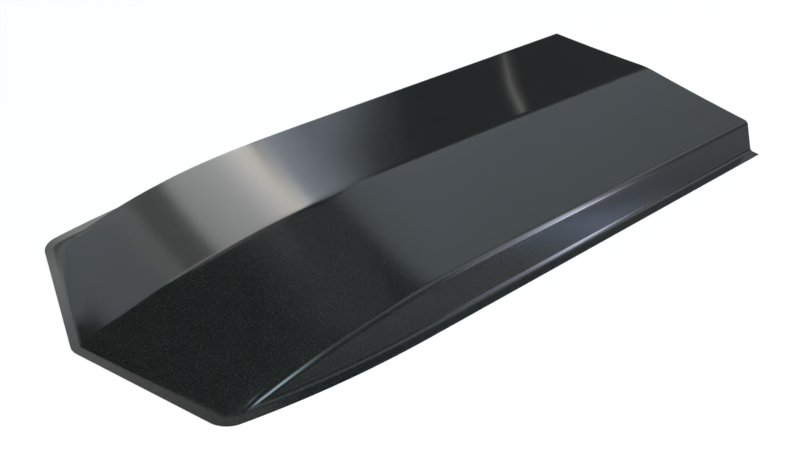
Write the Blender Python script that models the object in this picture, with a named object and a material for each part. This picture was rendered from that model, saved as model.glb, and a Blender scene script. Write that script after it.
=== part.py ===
# Cowl hood scoop: one pressed steel shell with its nose toward -Y, open at the rear, +Z up.
# Units are metres. The origin is on the underside plane of the flange, at the middle of the plan.
import math

import bmesh
import bpy
from mathutils import Vector

# Overall sizes
LENGTH = 1.300
WIDTH = 0.580
SHEET = 0.0012

# Plan outline: a swept nose, rounded front corners, sides that open out and then run parallel
NOSE_SWEEP = math.radians(17.7)
NOSE_RADIUS = 0.030
CORNER_RADIUS = 0.040
CORNER_INSET = 0.0324
CORNER_FLARE = math.radians(10.8)
FLARE_END = 0.420

# Flat flange round the nose and the sides, and the fillet between it and the wall
NOSE_FLANGE_WIDTH = 0.0115
SIDE_FLANGE_WIDTH = 0.0130
FILLET_RADIUS = 0.0080

# Side wall and the rounded edge where it turns into the roof
WALL_LEAN = math.radians(22.3)
EDGE_RADIUS = 0.0110

# Roof edge: height above the flange at the rear, and the run from the front corner back
EDGE_REAR_HEIGHT = 0.0553
EDGE_REAR_SLOPE = -0.0044
EDGE_CREST = 0.690
EDGE_START_SLOPE = 0.316
EDGE_START_BEND = 0.027

# Centre ridge: height above the flange at the rear, and the run from the nose back
RIDGE_REAR_HEIGHT = 0.0717
RIDGE_REAR_SLOPE = -0.0158
RIDGE_CREST = 0.667
RIDGE_START_SLOPE = 0.370
RIDGE_START_BEND = 0.005

# Half width of the rounding along the ridge, tight at the nose and wider at the rear
RIDGE_BLEND_NOSE = 0.008
RIDGE_BLEND_REAR = 0.016

# How hollow each roof half is, and how fast its rows lose the sweep of the nose
ROOF_HOLLOW = 0.30
SWEEP_FADE = 12.0

# Facets
ROWS = 30
RIDGE_STEPS = 3
ROOF_STEPS = 6
CORNER_STEPS = 7
EDGE_STEPS = 5
WALL_STEPS = 2
FILLET_STEPS = 4

HALF_WIDTH = WIDTH / 2
WALL_ANGLE = math.pi / 2 - WALL_LEAN
CORNER_TURN = math.pi / 2 - NOSE_SWEEP - CORNER_FLARE

# Plan points of one half: nose arc, straight nose edge, corner arc, side
NOSE_CENTRE = Vector((0.0, NOSE_RADIUS))
NOSE_INWARD = Vector((-math.sin(NOSE_SWEEP), math.cos(NOSE_SWEEP)))
NOSE_ARC_END = NOSE_CENTRE - NOSE_INWARD * NOSE_RADIUS
CORNER_REACH = CORNER_RADIUS * math.tan(CORNER_TURN / 2)
CORNER_X = HALF_WIDTH - CORNER_INSET
CORNER_Y = NOSE_ARC_END.y + (CORNER_X - NOSE_ARC_END.x) * math.tan(NOSE_SWEEP)
NOSE_EDGE_END = Vector((CORNER_X - CORNER_REACH * math.cos(NOSE_SWEEP),
                        CORNER_Y - CORNER_REACH * math.sin(NOSE_SWEEP)))
CORNER_CENTRE = NOSE_EDGE_END + NOSE_INWARD * CORNER_RADIUS
SIDE_START = Vector((CORNER_X + CORNER_REACH * math.sin(CORNER_FLARE),
                     CORNER_Y + CORNER_REACH * math.cos(CORNER_FLARE)))

# Lengths along the nose outline
NOSE_ARC_RUN = NOSE_RADIUS * NOSE_SWEEP
NOSE_EDGE_RUN = (NOSE_EDGE_END - NOSE_ARC_END).length
CORNER_RUN = CORNER_RADIUS * CORNER_TURN
NOSE_RUN = NOSE_ARC_RUN + NOSE_EDGE_RUN + CORNER_RUN


def smooth_run(y, y0, z0, slope0, y1, z1, slope1):
    """Cubic from (y0, z0) to (y1, z1) with the given end slopes, straight after y1."""
    if y >= y1:
        return z1 + (y - y1) * slope1
    span = y1 - y0
    t = (y - y0) / span
    middle = (z1 - z0) * t * t * (3 - 2 * t)
    ends = slope0 * t * (1 - t) ** 2 - slope1 * t * t * (1 - t)
    return z0 + middle + span * ends


def climb(y, start, bend, slope, crest, crest_height, crest_slope):
    """Height that bends up from the flange at start, climbs to the crest and runs on straight."""
    if y <= start + bend:
        return slope * max(y - start, 0.0) ** 2 / (2 * bend)
    return smooth_run(y, start + bend, slope * bend / 2, slope, crest, crest_height, crest_slope)


def edge_height(y):
    crest_height = EDGE_REAR_HEIGHT - EDGE_REAR_SLOPE * (LENGTH - EDGE_CREST)
    return climb(y, SIDE_START.y, EDGE_START_BEND, EDGE_START_SLOPE,
                 EDGE_CREST, crest_height, EDGE_REAR_SLOPE)


def ridge_height(y):
    crest_height = RIDGE_REAR_HEIGHT - RIDGE_REAR_SLOPE * (LENGTH - RIDGE_CREST)
    return climb(y, NOSE_FLANGE_WIDTH, RIDGE_START_BEND, RIDGE_START_SLOPE,
                 RIDGE_CREST, crest_height, RIDGE_REAR_SLOPE)


def side_x(y):
    return smooth_run(y, SIDE_START.y, SIDE_START.x, math.tan(CORNER_FLARE),
                      FLARE_END, HALF_WIDTH, 0.0)


def side_station(y):
    """Point of the side outline at y, and the unit vector that points inward from it."""
    step = 0.0005
    flare = (side_x(y + step) - side_x(y - step)) / (2 * step)
    return Vector((side_x(y), y)), Vector((-1.0, flare)).normalized()


def nose_station(share):
    """Point of the nose outline and its inward unit vector, from the tip (0) to the side (1)."""
    run = share * NOSE_RUN
    if run <= NOSE_ARC_RUN:
        turn = run / NOSE_RADIUS
        inward = Vector((-math.sin(turn), math.cos(turn)))
        return NOSE_CENTRE - inward * NOSE_RADIUS, inward
    run -= NOSE_ARC_RUN
    if run <= NOSE_EDGE_RUN:
        return NOSE_ARC_END.lerp(NOSE_EDGE_END, run / NOSE_EDGE_RUN), NOSE_INWARD
    turn = NOSE_SWEEP + (run - NOSE_EDGE_RUN) / CORNER_RADIUS
    inward = Vector((-math.sin(turn), math.cos(turn)))
    return CORNER_CENTRE - inward * CORNER_RADIUS, inward


def nose_inner(share):
    """Point on the inner edge of the nose flange, which widens round the corner to the side's."""
    tip, inward = nose_station(share)
    corner = (NOSE_ARC_RUN + NOSE_EDGE_RUN) / NOSE_RUN
    widen = max(0.0, share - corner) / (1 - corner)
    return tip + inward * (NOSE_FLANGE_WIDTH + (SIDE_FLANGE_WIDTH - NOSE_FLANGE_WIDTH) * widen)


def wall_section(station, inward, height, roof_angle):
    """Points from the flange tip up the wall and over the roof edge, at one side station."""
    rise = FILLET_RADIUS + EDGE_RADIUS * math.cos(roof_angle) - height
    turn = math.acos(min(1.0, max(-1.0, rise / (FILLET_RADIUS + EDGE_RADIUS))))
    turn = min(WALL_ANGLE, max(turn, roof_angle))
    curved = FILLET_RADIUS * (1 - math.cos(turn)) + EDGE_RADIUS * (math.cos(roof_angle) - math.cos(turn))
    upright = max(height - curved, 0.0)
    across, up = SIDE_FLANGE_WIDTH, 0.0
    points = [(0.0, 0.0), (across, up)]
    for step in range(1, FILLET_STEPS + 1):
        angle = turn * step / FILLET_STEPS
        across = SIDE_FLANGE_WIDTH + FILLET_RADIUS * math.sin(angle)
        up = FILLET_RADIUS * (1 - math.cos(angle))
        points.append((across, up))
    for step in range(WALL_STEPS):
        up += upright / WALL_STEPS
        across += upright / WALL_STEPS / math.tan(WALL_ANGLE)
        points.append((across, up))
    for step in range(1, EDGE_STEPS + 1):
        angle = turn + (roof_angle - turn) * step / EDGE_STEPS
        points.append((across + EDGE_RADIUS * (math.sin(turn) - math.sin(angle)),
                       up + EDGE_RADIUS * (math.cos(angle) - math.cos(turn))))
    flat = [station + inward * distance for distance, _ in points]
    return [Vector((place.x, place.y, SHEET + lift)) for place, (_, lift) in zip(flat, points)]


def column_shares(blend):
    """Shares of the way out from the ridge for the roof columns, from the edge (1) to the ridge (0)."""
    corner = (NOSE_ARC_RUN + NOSE_EDGE_RUN) / NOSE_RUN
    shares = [1 - (1 - corner) * step / CORNER_STEPS for step in range(CORNER_STEPS)]
    shares += [corner - (corner - blend) * step / ROOF_STEPS for step in range(ROOF_STEPS)]
    shares += [blend * (1 - step / RIDGE_STEPS) for step in range(RIDGE_STEPS + 1)]
    return shares


def roof_row(share, edge, ridge, chord):
    """Points of one roof row from its edge to the ridge; the first rows follow the nose."""
    blend = (RIDGE_BLEND_NOSE + (RIDGE_BLEND_REAR - RIDGE_BLEND_NOSE) * share) / edge.x
    sweep = (1 - share) ** SWEEP_FADE
    rise = ridge.z - edge.z
    points = []
    for out in column_shares(blend)[1:]:
        bow = nose_inner(out) - chord[0].lerp(chord[1], out)
        point = ridge.lerp(edge, out)
        line = max(out, blend)
        point.z = edge.z + rise * (1 - line) * (1 - ROOF_HOLLOW * line)
        if out < blend:
            fall = rise * (1 + ROOF_HOLLOW * (1 - 2 * blend))
            point.z += fall * (blend ** 2 - out ** 2) / (2 * blend)
        points.append(point + Vector((bow.x, bow.y, 0.0)) * sweep)
    return points


def half_rows():
    """Rows of points across the +X half of the outer skin, each from flange tip to ridge."""
    shares = [0.0] + [RIDGE_START_BEND * step / 2 / LENGTH for step in (1, 2)]
    first = shares[-1]
    shares += [first + (1 - first) * (step / ROWS) ** 1.6 for step in range(1, ROWS + 1)]
    chord = nose_inner(0.0), nose_inner(1.0)
    rows = []
    for share in shares:
        side_y = SIDE_START.y + (LENGTH - SIDE_START.y) * share
        ridge_y = chord[0].y + (LENGTH - chord[0].y) * share
        ridge = Vector((0.0, ridge_y, SHEET + ridge_height(ridge_y)))
        station, inward = side_station(side_y)
        height = edge_height(side_y)
        tilt = (ridge.z - SHEET - height) * (1 - ROOF_HOLLOW) / (HALF_WIDTH - SIDE_FLANGE_WIDTH)
        section = wall_section(station, inward, height, math.atan(tilt))
        edge = section[-1]
        rows.append(section + roof_row(share, edge, ridge, chord))
    return rows


def add_face(sheet, corners):
    """Face through the corners, where at least three of them are apart."""
    kept = []
    for corner in corners:
        if all((corner.co - other.co).length > 1e-7 for other in kept):
            kept.append(corner)
    if len(kept) > 2:
        sheet.faces.new(kept)


def outer_skin():
    """Outer skin of the whole scoop as an open sheet of faces, normals up."""
    sheet = bmesh.new()
    grid = [[sheet.verts.new(point) for point in row] for row in half_rows()]
    for front, back in zip(grid, grid[1:]):
        for column in range(len(front) - 1):
            add_face(sheet, (front[column + 1], front[column], back[column], back[column + 1]))
    # Nose strip of the flange, from the side round the corner to the centre line
    edge_column = 1 + FILLET_STEPS + WALL_STEPS + EDGE_STEPS
    inner = grid[0][edge_column:]
    tips = [nose_station(share)[0] for share in column_shares(RIDGE_BLEND_NOSE / inner[0].co.x)]
    outer = [sheet.verts.new((tip.x, tip.y, SHEET)) for tip in tips]
    for step in range(len(outer) - 1):
        add_face(sheet, (outer[step], inner[step], inner[step + 1], outer[step + 1]))
    bmesh.ops.remove_doubles(sheet, verts=sheet.verts, dist=1e-6)
    # The -X half mirrors this one and meets it along the ridge
    geometry = list(sheet.verts) + list(sheet.edges) + list(sheet.faces)
    bmesh.ops.mirror(sheet, geom=geometry, axis='X', merge_dist=1e-6)
    bmesh.ops.recalc_face_normals(sheet, faces=sheet.faces)
    if sum(face.normal.z for face in sheet.faces) < 0:
        bmesh.ops.reverse_faces(sheet, faces=sheet.faces)
    return sheet


def thicken(sheet):
    """Give the skin its thickness: an under side SHEET below it, joined along the cut edges."""
    sheet.normal_update()
    rim = [edge for edge in sheet.edges if edge.is_boundary]
    top = list(sheet.faces)
    under = {}
    for vert in list(sheet.verts):
        normal = vert.normal.copy()
        if abs(vert.co.z - SHEET) < 1e-6:
            normal = Vector((0.0, 0.0, 1.0))
        if abs(vert.co.y - LENGTH) < 1e-6:
            normal.y = 0.0
        if abs(vert.co.x) < 1e-6:
            normal.x = 0.0
        under[vert] = sheet.verts.new(vert.co - normal.normalized() * SHEET)
    for face in top:
        sheet.faces.new([under[vert] for vert in reversed(face.verts)])
    for edge in rim:
        first, second = edge.verts
        sheet.faces.new((first, second, under[second], under[first]))
    bmesh.ops.recalc_face_normals(sheet, faces=sheet.faces)


for old in list(bpy.data.objects):
    bpy.data.objects.remove(old, do_unlink=True)

sheet = outer_skin()
thicken(sheet)
bmesh.ops.translate(sheet, verts=sheet.verts, vec=(0.0, -LENGTH / 2, 0.0))
shell_mesh = bpy.data.meshes.new("scoop_shell")
sheet.to_mesh(shell_mesh)
sheet.free()
shell_mesh.shade_smooth()
shell_mesh.set_sharp_from_angle(angle=math.radians(40))

shell = bpy.data.objects.new("scoop_shell", shell_mesh)
bpy.context.scene.collection.objects.link(shell)

paint = bpy.data.materials.new("black_primer")
paint.use_nodes = True
coat = paint.node_tree.nodes["Principled BSDF"]
coat.inputs["Base Color"].default_value = (0.012, 0.013, 0.013, 1.0)
coat.inputs["Roughness"].default_value = 0.32
coat.inputs["Metallic"].default_value = 0.0
shell_mesh.materials.append(paint)
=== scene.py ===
# Looks of the cowl hood scoop: a fine pressed skin in black primer, with camera, lights and floor.
# Units are metres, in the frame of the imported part: nose toward -Y, open rear toward +Y, +Z up.
import math

import bmesh
import bpy
from mathutils import Matrix, Vector


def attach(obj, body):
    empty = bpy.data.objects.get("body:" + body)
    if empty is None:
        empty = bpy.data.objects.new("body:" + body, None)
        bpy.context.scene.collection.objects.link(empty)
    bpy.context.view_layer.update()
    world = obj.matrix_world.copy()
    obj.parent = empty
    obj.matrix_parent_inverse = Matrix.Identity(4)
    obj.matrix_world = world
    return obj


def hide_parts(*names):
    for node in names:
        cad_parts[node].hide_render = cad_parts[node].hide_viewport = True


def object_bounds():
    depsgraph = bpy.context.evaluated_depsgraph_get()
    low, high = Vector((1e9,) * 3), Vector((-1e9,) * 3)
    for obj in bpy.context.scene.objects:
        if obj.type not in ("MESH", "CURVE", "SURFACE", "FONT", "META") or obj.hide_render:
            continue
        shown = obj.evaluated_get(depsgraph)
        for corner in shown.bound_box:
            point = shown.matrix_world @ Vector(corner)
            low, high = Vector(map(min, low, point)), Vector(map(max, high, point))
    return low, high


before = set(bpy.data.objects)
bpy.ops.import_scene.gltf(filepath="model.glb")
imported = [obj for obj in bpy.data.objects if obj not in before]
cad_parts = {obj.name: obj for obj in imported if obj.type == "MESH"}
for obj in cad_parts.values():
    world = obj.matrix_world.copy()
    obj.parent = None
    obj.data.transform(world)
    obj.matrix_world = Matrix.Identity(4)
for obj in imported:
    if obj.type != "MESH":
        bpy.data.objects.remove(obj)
cad_low, cad_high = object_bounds()

# Overall sizes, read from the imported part
LENGTH = cad_high.y - cad_low.y
WIDTH = cad_high.x - cad_low.x
SHEET = 0.0012

# Plan outline of the pressing
NOSE_SWEEP = math.radians(17.7)
NOSE_RADIUS = 0.030
CORNER_RADIUS = 0.040
CORNER_INSET = 0.0324
CORNER_FLARE = math.radians(10.8)
FLARE_END = 0.420

# Flange, fillet, wall and roof edge
NOSE_FLANGE_WIDTH = 0.0115
SIDE_FLANGE_WIDTH = 0.0130
FILLET_RADIUS = 0.0080
WALL_LEAN = math.radians(22.3)
EDGE_RADIUS = 0.0110

# Roof edge and centre ridge along the length
EDGE_REAR_HEIGHT = 0.0553
EDGE_REAR_SLOPE = -0.0044
EDGE_CREST = 0.690
EDGE_START_SLOPE = 0.316
EDGE_START_BEND = 0.027
RIDGE_REAR_HEIGHT = 0.0717
RIDGE_REAR_SLOPE = -0.0158
RIDGE_CREST = 0.667
RIDGE_START_SLOPE = 0.370
RIDGE_START_BEND = 0.005
RIDGE_BLEND_NOSE = 0.008
RIDGE_BLEND_REAR = 0.016
ROOF_HOLLOW = 0.30
SWEEP_FADE = 12.0

# Facets of the fine skin, with its rows closer together toward the nose
ROWS = 130
START_ROWS = 6
ROW_CROWDING = 1.6
FLANGE_STEPS = 2
FILLET_STEPS = 8
WALL_STEPS = 5
EDGE_STEPS = 10
CORNER_STEPS = 16
ROOF_STEPS = 20
RIDGE_STEPS = 8
SHARP_ANGLE = math.radians(40)
SLOPE_STEP = 0.0005
SAME_POINT = 1e-7
MERGE_REACH = 1e-6

# Paint: grain and mottle of the black primer, and its orange peel
PRIMER_DARK = (0.0036, 0.0052, 0.0044)
PRIMER_MIDDLE = (0.0094, 0.0122, 0.0108)
PRIMER_LIGHT = (0.0185, 0.0228, 0.0204)
GRAIN_COLOURS = ((0.32, PRIMER_DARK), (0.50, PRIMER_MIDDLE), (0.68, PRIMER_LIGHT))
GRAIN_SCALE = 400.0
GRAIN_DETAIL = 3.0
MOTTLE_SCALE = 25.0
MOTTLE_DETAIL = 2.0
MOTTLE_SHARE = 0.10
GRAIN_LOW = 0.3
GRAIN_HIGH = 0.7
ROUGHNESS_LOW = 0.11
ROUGHNESS_HIGH = 0.14
PEEL_SCALE = 260.0
PEEL_DETAIL = 1.0
PEEL_STRENGTH = 0.25
PEEL_DEPTH = 0.00002

# Camera
VIEW_AZIMUTH = math.radians(46.0898)
VIEW_ELEVATION = math.radians(35.0874)
VIEW_ROLL = math.radians(3.9544)
VIEW_DISTANCE = 1.665
VIEW_TARGET = Vector((0.0922, -0.1177, 0.030))
FOCAL_PIXELS = 1021.36
PHOTO_WIDTH = 800
SENSOR_WIDTH = 36.0
CLIP_START = 0.05
CLIP_END = 60.0

# Dome of soft boxes. NEARER is the share of the way in from the dome to its centre, and the dark
# panels stand a little outside the dome.
DOME_CENTRE = Vector((0.0, 0.0, 0.05))
DOME_RADIUS = 3.5
PANEL_STEPS = 8
DARK_NEARER = -0.2
STRIP_NEARER = 0.02
KEY_NEARER = 0.04
FALLOFF_NEARER = 0.657
STREAK_NEARER = 0.823
DARK_LEVEL = 0.07

# Floor and world. The paint mirrors a share of the floor's white that changes from front to rear.
FLOOR_REACH = 30.0
FLOOR_HEIGHT = -0.0003
FLOOR_GAP = 0.0002
FLOOR_COLOUR = (0.28, 0.28, 0.28)
FLOOR_WHITE = 0.745
FLOOR_LIT_REACH = 2.0
FLOOR_FAR_REACH = 4.5
FLOOR_FRONT = -0.50
FLOOR_REAR = 1.0
FLOOR_MIRRORED = ((0.0, 0.0), (0.33, 0.38), (0.55, 0.39), (0.70, 0.18), (1.0, 0.27))
WORLD_LEVEL = 0.05

# Colours of the lights
WHITE = (1.0, 1.0, 1.0)
WARM = (1.0, 0.96, 0.88)
PALE = (0.94, 1.0, 1.04)
COOL = (0.90, 1.0, 1.12)
BLUE = (0.88, 1.0, 1.15)
LAVENDER = (0.95, 1.0, 1.25)
CYAN = (0.72, 1.0, 1.15)
VIOLET = (0.8, 1.0, 1.6)
EVEN = ((0.0, 1.0), (1.0, 1.0))
EVEN_WHITE = ((0.0, WHITE), (1.0, WHITE))

# Plan points worked out from the sizes, with the nose tip at y = 0
HALF_WIDTH = WIDTH / 2
WALL_ANGLE = math.pi / 2 - WALL_LEAN
CORNER_TURN = math.pi / 2 - NOSE_SWEEP - CORNER_FLARE
NOSE_CENTRE = Vector((0.0, NOSE_RADIUS))
NOSE_INWARD = Vector((-math.sin(NOSE_SWEEP), math.cos(NOSE_SWEEP)))
NOSE_ARC_END = NOSE_CENTRE - NOSE_INWARD * NOSE_RADIUS
CORNER_REACH = CORNER_RADIUS * math.tan(CORNER_TURN / 2)
CORNER_X = HALF_WIDTH - CORNER_INSET
CORNER_Y = NOSE_ARC_END.y + (CORNER_X - NOSE_ARC_END.x) * math.tan(NOSE_SWEEP)
NOSE_EDGE_END = Vector((CORNER_X - CORNER_REACH * math.cos(NOSE_SWEEP),
                        CORNER_Y - CORNER_REACH * math.sin(NOSE_SWEEP)))
CORNER_CENTRE = NOSE_EDGE_END + NOSE_INWARD * CORNER_RADIUS
SIDE_START = Vector((CORNER_X + CORNER_REACH * math.sin(CORNER_FLARE),
                     CORNER_Y + CORNER_REACH * math.cos(CORNER_FLARE)))
NOSE_ARC_RUN = NOSE_RADIUS * NOSE_SWEEP
NOSE_EDGE_RUN = (NOSE_EDGE_END - NOSE_ARC_END).length
NOSE_RUN = NOSE_ARC_RUN + NOSE_EDGE_RUN + CORNER_RADIUS * CORNER_TURN
CORNER_SHARE = (NOSE_ARC_RUN + NOSE_EDGE_RUN) / NOSE_RUN


def smooth_run(y, y0, z0, slope0, y1, z1, slope1):
    """Cubic from (y0, z0) to (y1, z1) with the given end slopes, straight after y1."""
    if y >= y1:
        return z1 + (y - y1) * slope1
    span = y1 - y0
    t = (y - y0) / span
    middle = (z1 - z0) * t * t * (3 - 2 * t)
    ends = slope0 * t * (1 - t) ** 2 - slope1 * t * t * (1 - t)
    return z0 + middle + span * ends


def climb(y, start, bend, slope, crest, crest_height, crest_slope):
    """Height that bends up from the flange at start, climbs to the crest and runs on straight."""
    if y <= start + bend:
        return slope * max(y - start, 0.0) ** 2 / (2 * bend)
    return smooth_run(y, start + bend, slope * bend / 2, slope, crest, crest_height, crest_slope)


def edge_height(y):
    """Height of the roof's edge above the flange at y."""
    crest_height = EDGE_REAR_HEIGHT - EDGE_REAR_SLOPE * (LENGTH - EDGE_CREST)
    return climb(y, SIDE_START.y, EDGE_START_BEND, EDGE_START_SLOPE,
                 EDGE_CREST, crest_height, EDGE_REAR_SLOPE)


def ridge_height(y):
    """Height of the centre ridge above the flange at y."""
    crest_height = RIDGE_REAR_HEIGHT - RIDGE_REAR_SLOPE * (LENGTH - RIDGE_CREST)
    return climb(y, NOSE_FLANGE_WIDTH, RIDGE_START_BEND, RIDGE_START_SLOPE,
                 RIDGE_CREST, crest_height, RIDGE_REAR_SLOPE)


def side_x(y):
    """Half width of the side outline at y."""
    return smooth_run(y, SIDE_START.y, SIDE_START.x, math.tan(CORNER_FLARE),
                      FLARE_END, HALF_WIDTH, 0.0)


def side_station(y):
    """Point of the side outline at y, and the unit vector that points inward from it."""
    flare = (side_x(y + SLOPE_STEP) - side_x(y - SLOPE_STEP)) / (2 * SLOPE_STEP)
    return Vector((side_x(y), y)), Vector((-1.0, flare)).normalized()


def nose_station(share):
    """Point of the nose outline and its inward unit vector, from the tip (0) to the side (1)."""
    run = share * NOSE_RUN
    if run <= NOSE_ARC_RUN:
        turn = run / NOSE_RADIUS
        inward = Vector((-math.sin(turn), math.cos(turn)))
        return NOSE_CENTRE - inward * NOSE_RADIUS, inward
    run -= NOSE_ARC_RUN
    if run <= NOSE_EDGE_RUN:
        return NOSE_ARC_END.lerp(NOSE_EDGE_END, run / NOSE_EDGE_RUN), NOSE_INWARD
    turn = NOSE_SWEEP + (run - NOSE_EDGE_RUN) / CORNER_RADIUS
    inward = Vector((-math.sin(turn), math.cos(turn)))
    return CORNER_CENTRE - inward * CORNER_RADIUS, inward


def nose_inner(share):
    """Point on the inner edge of the nose flange, which widens round the corner to the side's."""
    tip, inward = nose_station(share)
    widen = max(0.0, share - CORNER_SHARE) / (1 - CORNER_SHARE)
    return tip + inward * (NOSE_FLANGE_WIDTH + (SIDE_FLANGE_WIDTH - NOSE_FLANGE_WIDTH) * widen)


def wall_section(station, inward, height, roof_angle):
    """Points from the flange tip up the wall and over the roof edge, at one side station."""
    rise = FILLET_RADIUS + EDGE_RADIUS * math.cos(roof_angle) - height
    turn = math.acos(min(1.0, max(-1.0, rise / (FILLET_RADIUS + EDGE_RADIUS))))
    turn = min(WALL_ANGLE, max(turn, roof_angle))
    fillet_rise = FILLET_RADIUS * (1 - math.cos(turn))
    edge_rise = EDGE_RADIUS * (math.cos(roof_angle) - math.cos(turn))
    upright = max(height - fillet_rise - edge_rise, 0.0)
    points = [(SIDE_FLANGE_WIDTH * step / FLANGE_STEPS, 0.0) for step in range(FLANGE_STEPS + 1)]
    for step in range(1, FILLET_STEPS + 1):
        angle = turn * step / FILLET_STEPS
        across = SIDE_FLANGE_WIDTH + FILLET_RADIUS * math.sin(angle)
        up = FILLET_RADIUS * (1 - math.cos(angle))
        points.append((across, up))
    for step in range(WALL_STEPS):
        up += upright / WALL_STEPS
        across += upright / WALL_STEPS / math.tan(WALL_ANGLE)
        points.append((across, up))
    for step in range(1, EDGE_STEPS + 1):
        angle = turn + (roof_angle - turn) * step / EDGE_STEPS
        points.append((across + EDGE_RADIUS * (math.sin(turn) - math.sin(angle)),
                       up + EDGE_RADIUS * (math.cos(angle) - math.cos(turn))))
    flat = [station + inward * distance for distance, _ in points]
    return [Vector((place.x, place.y, SHEET + lift)) for place, (_, lift) in zip(flat, points)]


def column_shares(blend):
    """Shares of the way out from the ridge for the roof columns, from edge (1) to ridge (0)."""
    roof = CORNER_SHARE - blend
    shares = [1 - (1 - CORNER_SHARE) * step / CORNER_STEPS for step in range(CORNER_STEPS)]
    shares += [CORNER_SHARE - roof * step / ROOF_STEPS for step in range(ROOF_STEPS)]
    shares += [blend * (1 - step / RIDGE_STEPS) for step in range(RIDGE_STEPS + 1)]
    return shares


def roof_row(share, edge, ridge, chord):
    """Points of one roof row from its edge to the ridge; the first rows follow the nose."""
    blend = (RIDGE_BLEND_NOSE + (RIDGE_BLEND_REAR - RIDGE_BLEND_NOSE) * share) / edge.x
    sweep = (1 - share) ** SWEEP_FADE
    rise = ridge.z - edge.z
    points = []
    for out in column_shares(blend)[1:]:
        bow = nose_inner(out) - chord[0].lerp(chord[1], out)
        point = ridge.lerp(edge, out)
        line = max(out, blend)
        point.z = edge.z + rise * (1 - line) * (1 - ROOF_HOLLOW * line)
        if out < blend:
            fall = rise * (1 + ROOF_HOLLOW * (1 - 2 * blend))
            point.z += fall * (blend ** 2 - out ** 2) / (2 * blend)
        points.append(point + Vector((bow.x, bow.y, 0.0)) * sweep)
    return points


def half_rows():
    """Rows of points across the +X half of the outer skin, each from flange tip to ridge."""
    first = RIDGE_START_BEND / LENGTH
    shares = [first * step / START_ROWS for step in range(START_ROWS + 1)]
    shares += [first + (1 - first) * (step / ROWS) ** ROW_CROWDING for step in range(1, ROWS + 1)]
    chord = nose_inner(0.0), nose_inner(1.0)
    rows = []
    for share in shares:
        side_y = SIDE_START.y + (LENGTH - SIDE_START.y) * share
        ridge_y = chord[0].y + (LENGTH - chord[0].y) * share
        ridge = Vector((0.0, ridge_y, SHEET + ridge_height(ridge_y)))
        station, inward = side_station(side_y)
        height = edge_height(side_y)
        tilt = (ridge.z - SHEET - height) * (1 - ROOF_HOLLOW) / (HALF_WIDTH - SIDE_FLANGE_WIDTH)
        section = wall_section(station, inward, height, math.atan(tilt))
        rows.append(section + roof_row(share, section[-1], ridge, chord))
    return rows


def add_face(skin, corners):
    """Face through the corners, where at least three of them are apart."""
    kept = []
    for corner in corners:
        if all((corner.co - other.co).length > SAME_POINT for other in kept):
            kept.append(corner)
    if len(kept) > 2:
        skin.faces.new(kept)


def outer_skin():
    """Outer skin of the whole scoop as an open sheet of faces, normals up."""
    skin = bmesh.new()
    grid = [[skin.verts.new(point) for point in row] for row in half_rows()]
    for front, back in zip(grid, grid[1:]):
        for column in range(len(front) - 1):
            add_face(skin, (front[column + 1], front[column], back[column], back[column + 1]))
    edge_column = FLANGE_STEPS + FILLET_STEPS + WALL_STEPS + EDGE_STEPS
    inner = grid[0][edge_column:]
    tips = [nose_station(share)[0] for share in column_shares(RIDGE_BLEND_NOSE / inner[0].co.x)]
    outer = [skin.verts.new((tip.x, tip.y, SHEET)) for tip in tips]
    middle = [skin.verts.new(near.co.lerp(far.co, 0.5)) for near, far in zip(inner, outer)]
    for near, far in ((middle, inner), (outer, middle)):
        for step in range(len(outer) - 1):
            add_face(skin, (near[step], far[step], far[step + 1], near[step + 1]))
    bmesh.ops.remove_doubles(skin, verts=skin.verts, dist=MERGE_REACH)
    geometry = list(skin.verts) + list(skin.edges) + list(skin.faces)
    bmesh.ops.mirror(skin, geom=geometry, axis='X', merge_dist=MERGE_REACH)
    bmesh.ops.recalc_face_normals(skin, faces=skin.faces)
    if sum(face.normal.z for face in skin.faces) < 0:
        bmesh.ops.reverse_faces(skin, faces=skin.faces)
    return skin


def thicken(skin):
    """Give the skin its sheet thickness, with the cut edges joined by a narrow strip."""
    skin.normal_update()
    rim = [edge for edge in skin.edges if edge.is_boundary]
    top = list(skin.faces)
    under = {}
    for vert in list(skin.verts):
        normal = vert.normal.copy()
        if abs(vert.co.z - SHEET) < MERGE_REACH:
            normal = Vector((0.0, 0.0, 1.0))
        if abs(vert.co.y - LENGTH) < MERGE_REACH:
            normal.y = 0.0
        if abs(vert.co.x) < MERGE_REACH:
            normal.x = 0.0
        under[vert] = skin.verts.new(vert.co - normal.normalized() * SHEET)
    for face in top:
        skin.faces.new([under[vert] for vert in reversed(face.verts)])
    for edge in rim:
        first, second = edge.verts
        skin.faces.new((first, second, under[second], under[first]))
    bmesh.ops.recalc_face_normals(skin, faces=skin.faces)


def feed(tree, socket, value):
    """Set a socket to a value, or link it to another node's output."""
    if isinstance(value, bpy.types.NodeSocket):
        tree.links.new(value, socket)
    else:
        socket.default_value = value


def linked(tree, node_type, **inputs):
    """New node whose named inputs are fed; an underscore stands for a space in a name."""
    node = tree.nodes.new(node_type)
    for name, value in inputs.items():
        feed(tree, node.inputs[name.replace("_", " ")], value)
    return node


def reckoned(tree, operation, first, second):
    """Output of a math node over two values or outputs."""
    node = tree.nodes.new("ShaderNodeMath")
    node.operation = operation
    feed(tree, node.inputs[0], first)
    feed(tree, node.inputs[1], second)
    return node.outputs[0]


def added(tree, first, second):
    """Output of a shader that adds two others."""
    node = tree.nodes.new("ShaderNodeAddShader")
    tree.links.new(first, node.inputs[0])
    tree.links.new(second, node.inputs[1])
    return node.outputs[0]


def ramp(tree, share, stops):
    """Colour ramp over share, through (place, colour) stops."""
    node = linked(tree, "ShaderNodeValToRGB", Fac=share)
    elements = node.color_ramp.elements
    while len(elements) < len(stops):
        elements.new(0.5)
    for element, (place, colour) in zip(elements, stops):
        element.position = place
        element.color = (*colour, 1.0)
    return node.outputs["Color"]


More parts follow.
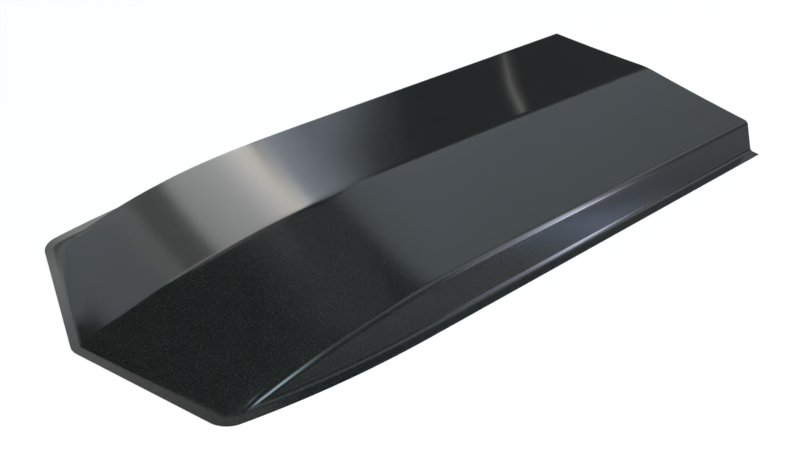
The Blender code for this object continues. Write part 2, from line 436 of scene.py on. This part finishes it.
def tints(colour, *levels):
    """Ramp stops of one colour, from (place, level) pairs."""
    return [(place, tuple(level * part for part in colour)) for place, level in levels]


def add_object(name, data):
    """New object in the scene."""
    thing = bpy.data.objects.new(name, data)
    bpy.context.scene.collection.objects.link(thing)
    return thing


def new_material(name):
    """New node material and its tree."""
    material = bpy.data.materials.new(name)
    material.use_nodes = True
    return material, material.node_tree


def primer():
    """Satin black primer on steel: a fine orange peel, with grain in its colour and gloss."""
    material, tree = new_material("black_primer_fine")
    place = tree.nodes.new("ShaderNodeTexCoord").outputs["Object"]
    grain = linked(tree, "ShaderNodeTexNoise", Vector=place, Scale=GRAIN_SCALE,
                   Detail=GRAIN_DETAIL)
    mottle = linked(tree, "ShaderNodeTexNoise", Vector=place, Scale=MOTTLE_SCALE,
                    Detail=MOTTLE_DETAIL)
    mixed = linked(tree, "ShaderNodeMix", Factor=MOTTLE_SHARE, A=grain.outputs["Fac"],
                   B=mottle.outputs["Fac"]).outputs["Result"]
    gloss = linked(tree, "ShaderNodeMapRange", Value=mixed, From_Min=GRAIN_LOW,
                   From_Max=GRAIN_HIGH, To_Min=ROUGHNESS_LOW, To_Max=ROUGHNESS_HIGH)
    peel = linked(tree, "ShaderNodeTexNoise", Vector=place, Scale=PEEL_SCALE, Detail=PEEL_DETAIL)
    bump = linked(tree, "ShaderNodeBump", Height=peel.outputs["Fac"], Strength=PEEL_STRENGTH,
                  Distance=PEEL_DEPTH)
    coat = tree.nodes["Principled BSDF"]
    feed(tree, coat.inputs["Base Color"], ramp(tree, mixed, GRAIN_COLOURS))
    feed(tree, coat.inputs["Roughness"], gloss.outputs["Result"])
    feed(tree, coat.inputs["Normal"], bump.outputs["Normal"])
    return material


def make_shell():
    """Fine skin of the scoop, which takes the plain solid's place."""
    skin = outer_skin()
    thicken(skin)
    bmesh.ops.translate(skin, verts=skin.verts, vec=(0.0, -LENGTH / 2, 0.0))
    mesh = bpy.data.meshes.new("scoop_skin")
    skin.to_mesh(mesh)
    skin.free()
    mesh.shade_smooth()
    mesh.set_sharp_from_angle(angle=SHARP_ANGLE)
    mesh.materials.append(primer())
    shell = add_object("scoop_skin", mesh)
    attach(shell, "root")
    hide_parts("scoop_shell")


def make_camera():
    """Camera at the photograph's viewing angle."""
    back = Vector((math.sin(VIEW_AZIMUTH) * math.cos(VIEW_ELEVATION),
                   -math.cos(VIEW_AZIMUTH) * math.cos(VIEW_ELEVATION),
                   math.sin(VIEW_ELEVATION)))
    right = (-back).cross(Vector((0.0, 0.0, 1.0))).normalized()
    up = back.cross(right)
    turned_right = right * math.cos(VIEW_ROLL) + up * math.sin(VIEW_ROLL)
    turned_up = up * math.cos(VIEW_ROLL) - right * math.sin(VIEW_ROLL)
    data = bpy.data.cameras.new("camera")
    data.sensor_width = SENSOR_WIDTH
    data.lens = FOCAL_PIXELS / PHOTO_WIDTH * SENSOR_WIDTH
    data.clip_start = CLIP_START
    data.clip_end = CLIP_END
    camera = add_object("camera", data)
    place = VIEW_TARGET + back * VIEW_DISTANCE
    camera.matrix_world = Matrix((
        (turned_right.x, turned_up.x, back.x, place.x),
        (turned_right.y, turned_up.y, back.y, place.y),
        (turned_right.z, turned_up.z, back.z, place.z),
        (0.0, 0.0, 0.0, 1.0)))
    bpy.context.scene.camera = camera


def dome_point(azimuth, elevation):
    """Point of the light dome; azimuth turns from +Y toward -X, both in degrees."""
    turn, rise = math.radians(azimuth), math.radians(elevation)
    return DOME_CENTRE + DOME_RADIUS * Vector((-math.sin(turn) * math.cos(rise),
                                               math.cos(turn) * math.cos(rise),
                                               math.sin(rise)))


def arch_point(along, climb_angle):
    """Point of the dome at a share of its radius along +Y, on an arch that climbs from +X."""
    rise = math.radians(climb_angle)
    reach = math.sqrt(1 - along ** 2)
    return DOME_CENTRE + DOME_RADIUS * Vector((reach * math.cos(rise), along,
                                               reach * math.sin(rise)))


def floor_point(across, along):
    """Point just above the floor, for a light that only the near wall mirrors."""
    return Vector((across, along, FLOOR_HEIGHT + FLOOR_GAP))


def curved_sheet(name, corners, place, nearer):
    """Mesh between four corners, low, low, high, high, with its span across and upward as UV."""
    verts, faces = [], []
    for row in range(PANEL_STEPS + 1):
        for column in range(PANEL_STEPS + 1):
            u, v = column / PANEL_STEPS, row / PANEL_STEPS
            low = Vector(corners[0]).lerp(Vector(corners[1]), u)
            high = Vector(corners[3]).lerp(Vector(corners[2]), u)
            verts.append(place(*low.lerp(high, v)).lerp(DOME_CENTRE, nearer))
    for row in range(PANEL_STEPS):
        for column in range(PANEL_STEPS):
            start = row * (PANEL_STEPS + 1) + column
            faces.append((start, start + 1, start + PANEL_STEPS + 2, start + PANEL_STEPS + 1))
    mesh = bpy.data.meshes.new(name)
    mesh.from_pydata(verts, [], faces)
    layer = mesh.uv_layers.new(name="span")
    for loop in mesh.loops:
        row, column = divmod(loop.vertex_index, PANEL_STEPS + 1)
        layer.data[loop.index].uv = (column / PANEL_STEPS, row / PANEL_STEPS)
    return mesh


def soft_box(name, corners, strength, across, upward=EVEN, place=dome_point, nearer=0.0,
             clear=True):
    """Curved soft box that the camera doesn't see. Its colour changes across it, from the first
    corner to the second, and its strength upward. A clear box adds to what lies behind it."""
    mesh = curved_sheet(name, corners, place, nearer)
    material, tree = new_material(name)
    tree.nodes.clear()
    span = linked(tree, "ShaderNodeSeparateXYZ",
                  Vector=tree.nodes.new("ShaderNodeTexCoord").outputs["UV"])
    colour = ramp(tree, span.outputs["X"], across)
    level = ramp(tree, span.outputs["Y"], tints(WHITE, *upward))
    shown = linked(tree, "ShaderNodeEmission", Color=colour,
                   Strength=reckoned(tree, 'MULTIPLY', level, strength)).outputs[0]
    if clear:
        shown = added(tree, shown, tree.nodes.new("ShaderNodeBsdfTransparent").outputs[0])
    linked(tree, "ShaderNodeOutputMaterial", Surface=shown)
    mesh.materials.append(material)
    box = add_object(name, mesh)
    box.visible_camera = False


def hide_surroundings():
    """Dark panels behind the other boxes, so that the paint doesn't mirror white all round."""
    for name, corners in (("dark_wall", ((-112, 1), (135, 1), (135, 88), (-112, 88))),
                          ("dark_top", ((-226, 60), (-111, 60), (-111, 89), (-226, 89)))):
        soft_box(name, corners, DARK_LEVEL, EVEN_WHITE, nearer=DARK_NEARER, clear=False)


def light_rear():
    """Boxes that the roof mirrors behind its bright band."""
    # Even grey of the near half
    soft_box("rear_panel", ((5, 11), (52, 33.5), (49, 49), (5, 66)), 1.02,
             tints(COOL, (0.0, 0.35), (0.25, 0.55), (0.42, 0.72), (0.55, 0.80), (0.70, 0.97),
                   (1.0, 0.95)),
             ((0.0, 0.0), (0.03, 0.84), (0.15, 0.84), (0.25, 0.92), (0.40, 1.0), (0.90, 1.0),
              (1.0, 0.0)))
    # Ridge between the near half's grey and the far half's
    soft_box("ridge_fill", ((50.5, 26.5), (59.0, 26.5), (57.5, 43.5), (49.5, 43.5)), 0.5,
             tints(COOL, (0.0, 0.0), (0.2, 0.8), (0.75, 1.0), (1.0, 0.0)),
             ((0.0, 0.0), (0.2, 0.7), (0.35, 1.0), (0.7, 1.0), (1.0, 0.0)))
    # Two lamps close over the rear of the far half, seen there as one thin bent streak
    for name, corners, upward in (
            ("streak_top", ((26.3, 3.5), (32.3, 3.5), (30.2, 9.7), (25.0, 9.7)),
             ((0.0, 0.30), (0.5, 0.45), (1.0, 0.60))),
            ("streak_low", ((25.0, 9.7), (30.2, 9.7), (26.0, 15), (22.4, 15)),
             ((0.0, 0.60), (0.4, 0.90), (0.6, 1.0), (1.0, 1.0)))):
        soft_box(name, corners, 1.15,
                 tints(WARM, (0.0, 0.0), (0.2, 0.13), (0.38, 0.42), (0.5, 1.0), (0.62, 0.36),
                       (0.8, 0.08), (1.0, 0.0)),
                 upward, nearer=STREAK_NEARER)
    # Blue-grey of the far half, which fades to black toward the rear
    soft_box("blue_falloff", ((48.5, 8), (66.5, 8), (62, 41), (48.5, 41)), 2.0,
             tints(BLUE, (0.0, 0.0), (0.28, 0.045), (0.45, 0.20), (0.65, 0.52), (0.85, 0.78),
                   (1.0, 0.95)))
    soft_box("near_falloff", ((50, 8), (64, 8), (64, 22.2), (50, 19.2)), 1.0,
             tints(BLUE, (0.0, 0.0), (0.236, 0.15), (0.443, 0.34), (0.607, 0.42), (0.771, 0.46),
                   (0.89, 0.25), (1.0, 0.0)),
             ((0.0, 1.0), (0.80, 1.0), (0.93, 0.5), (1.0, 0.0)), nearer=FALLOFF_NEARER)


def light_front():
    """Boxes that the roof mirrors from its bright band forward."""
    # Bright band across the far half
    for name, corners, upward in (
            ("warm_band", ((67.0, 8), (82.5, 8), (81.8, 25.2), (64.9, 25.2)), EVEN),
            ("warm_top", ((63.4, 25.2), (81.8, 25.2), (81.1, 43), (60.1, 43)),
             ((0.0, 1.0), (0.5, 1.0), (1.0, 0.15)))):
        soft_box(name, corners, 5.2,
                 tints(WARM, (0.0, 0.65), (0.08, 1.0), (0.16, 1.0))
                 + tints(WHITE, (0.30, 0.76), (0.45, 0.575), (0.7, 0.51), (0.92, 0.45), (1.0, 0.2)),
                 upward)
    # Dark band before it, and the grey at the far front
    soft_box("dim_strip", ((82.5, 8), (88.5, 8), (88.0, 36), (81.5, 36)), 0.46, EVEN_WHITE)
    soft_box("side_panel", ((88.5, 1), (105.5, 1), (105.5, 36), (88.0, 36)), 0.92,
             tints(WHITE, (0.0, 1.15), (0.14, 1.08)) + tints(COOL, (0.32, 0.92), (0.85, 1.0))
             + tints(WHITE, (1.0, 0.5)),
             ((0.0, 0.60), (0.26, 0.58), (0.40, 0.64), (0.50, 0.74), (0.57, 0.86), (0.66, 0.97),
              (1.0, 1.0)))
    # Front of the ridge, the nose flange and the dark front of the near half
    soft_box("front_left_panel", ((62, 34.5), (94, 34.5), (92, 57), (60, 59)), 1.6,
             tints(WHITE, (0.0, 0.4), (0.5, 0.9), (0.7, 1.0), (1.0, 0.9)),
             ((0.0, 1.0), (0.16, 0.95), (0.27, 0.65), (0.6, 0.52), (0.85, 0.45), (1.0, 0.0)))
    soft_box("high_panel", ((46, 49), (62, 49), (84, 68), (50, 68)), 0.22,
             tints(WHITE, (0.0, 1.0), (0.6, 1.0), (1.0, 0.2)),
             ((0.0, 0.0), (0.12, 1.0), (0.8, 1.0), (1.0, 0.0)))


def light_side():
    """Boxes that the near wall, its fillet and the near roof edge mirror."""
    soft_box("right_panel", ((-0.35, 5), (0.97, 5), (0.97, 118), (-0.35, 118)), 1.8,
             tints(PALE, (0.0, 0.15), (0.19, 0.28), (0.27, 0.45), (0.32, 0.55), (0.50, 0.57),
                   (0.57, 0.72), (0.63, 0.78), (0.80, 0.8), (0.83, 1.0), (0.86, 0.95),
                   (0.89, 0.7), (1.0, 0.6)),
             ((0.0, 0.15), (0.19, 0.15), (0.30, 0.22), (0.40, 0.40), (0.50, 0.70), (0.60, 0.98),
              (0.67, 0.85), (0.73, 0.30), (0.90, 0.15), (1.0, 0.0)), arch_point)
    # Bright stretch of the roof edge, the wall and the fillet toward the rear
    soft_box("window", ((0.46, 1), (0.76, 1), (0.76, 90), (0.46, 90)), 17.0,
             tints(LAVENDER, (0.0, 0.0), (0.133, 0.01), (0.267, 0.12), (0.4, 0.15), (0.533, 0.23),
                   (0.617, 0.50), (0.667, 0.80), (0.733, 1.0), (0.79, 0.68), (0.85, 0.15),
                   (0.92, 0.03), (1.0, 0.0)),
             ((0.0, 0.78), (0.04, 0.95), (0.10, 0.91), (0.17, 0.72), (0.25, 0.61), (0.5, 0.58),
              (0.63, 0.33), (0.76, 0.10), (0.9, 0.03), (1.0, 0.0)), arch_point, STRIP_NEARER)
    # Highlight at the front end of the roof edge
    soft_box("front_strip", ((-0.26, 30), (0.05, 30), (0.05, 95), (-0.26, 72)), 11.0,
             tints(CYAN, (0.0, 0.4), (0.25, 1.0), (0.42, 0.7), (0.6, 0.32), (0.85, 0.1),
                   (1.0, 0.0)),
             ((0.0, 0.0), (0.25, 0.8), (0.65, 1.0), (0.85, 0.5), (1.0, 0.0)), arch_point,
             STRIP_NEARER)
    # Violet glow low on the wall
    soft_box("low_glow", ((0.33, 0.05), (0.33, 0.53), (1.8, 1.54), (1.8, 1.06)), 0.8,
             tints(VIOLET, (0.0, 0.0), (0.25, 0.30), (0.5, 1.0), (0.75, 0.30), (1.0, 0.0)),
             place=floor_point)


def make_lights():
    """Soft boxes round the part; what each shows in the paint is the look of the photograph."""
    hide_surroundings()
    light_rear()
    light_front()
    light_side()
    soft_box("key", ((-190, 24), (-122, 24), (-122, 54), (-190, 54)), 3.6, EVEN_WHITE,
             ((0.0, 0.0), (0.2, 1.0), (0.8, 1.0), (1.0, 0.0)), nearer=KEY_NEARER)


def background_share(tree, mirrored):
    """Share of the white background that a ray shows: all of it to the camera and through glass,
    the mirrored share in glossy paint, and none as light on the part."""
    path = tree.nodes.new("ShaderNodeLightPath")
    seen = reckoned(tree, 'MULTIPLY', path.outputs["Is Glossy Ray"], mirrored)
    for name in ("Is Camera Ray", "Is Transmission Ray"):
        seen = reckoned(tree, 'MAXIMUM', seen, path.outputs[name])
    return seen


def make_floor():
    """Pale floor that keeps the part's shadow. Its own white is lower near the part, where the
    lamps add theirs, and rises to 1 far from it."""
    corners = ((-1, -1), (1, -1), (1, 1), (-1, 1))
    mesh = bpy.data.meshes.new("floor")
    mesh.from_pydata([(x * FLOOR_REACH, y * FLOOR_REACH, FLOOR_HEIGHT) for x, y in corners],
                     [], [(0, 1, 2, 3)])
    material, tree = new_material("pale_floor")
    tree.nodes.clear()
    place = tree.nodes.new("ShaderNodeTexCoord").outputs["Object"]
    along = linked(tree, "ShaderNodeSeparateXYZ", Vector=place).outputs["Y"]
    run = linked(tree, "ShaderNodeMapRange", Value=along, From_Min=FLOOR_FRONT,
                 From_Max=FLOOR_REAR)
    mirrored = ramp(tree, run.outputs["Result"], tints(WHITE, *FLOOR_MIRRORED))
    reach = linked(tree, "ShaderNodeVectorMath", Vector=place)
    reach.operation = 'LENGTH'
    level = linked(tree, "ShaderNodeMapRange", Value=reach.outputs["Value"],
                   From_Min=FLOOR_LIT_REACH, From_Max=FLOOR_FAR_REACH, To_Min=FLOOR_WHITE)
    strength = reckoned(tree, 'MULTIPLY', background_share(tree, mirrored),
                        level.outputs["Result"])
    shade = linked(tree, "ShaderNodeBsdfDiffuse", Color=(*FLOOR_COLOUR, 1.0))
    white = linked(tree, "ShaderNodeEmission", Strength=strength)
    linked(tree, "ShaderNodeOutputMaterial",
           Surface=added(tree, shade.outputs[0], white.outputs[0]))
    mesh.materials.append(material)
    add_object("floor", mesh)


def make_world():
    """World that shows white to the camera, and in paint and glass, and lights the part dimly."""
    world = bpy.data.worlds.new("studio")
    world.use_nodes = True
    tree = world.node_tree
    strength = linked(tree, "ShaderNodeMapRange", Value=background_share(tree, 1.0),
                      To_Min=WORLD_LEVEL)
    background = tree.nodes["Background"]
    background.inputs["Color"].default_value = (*WHITE, 1.0)
    feed(tree, background.inputs["Strength"], strength.outputs["Result"])
    bpy.context.scene.world = world


make_shell()
make_camera()
make_lights()
make_floor()
make_world()
bpy.context.scene.view_settings.view_transform = 'Standard'
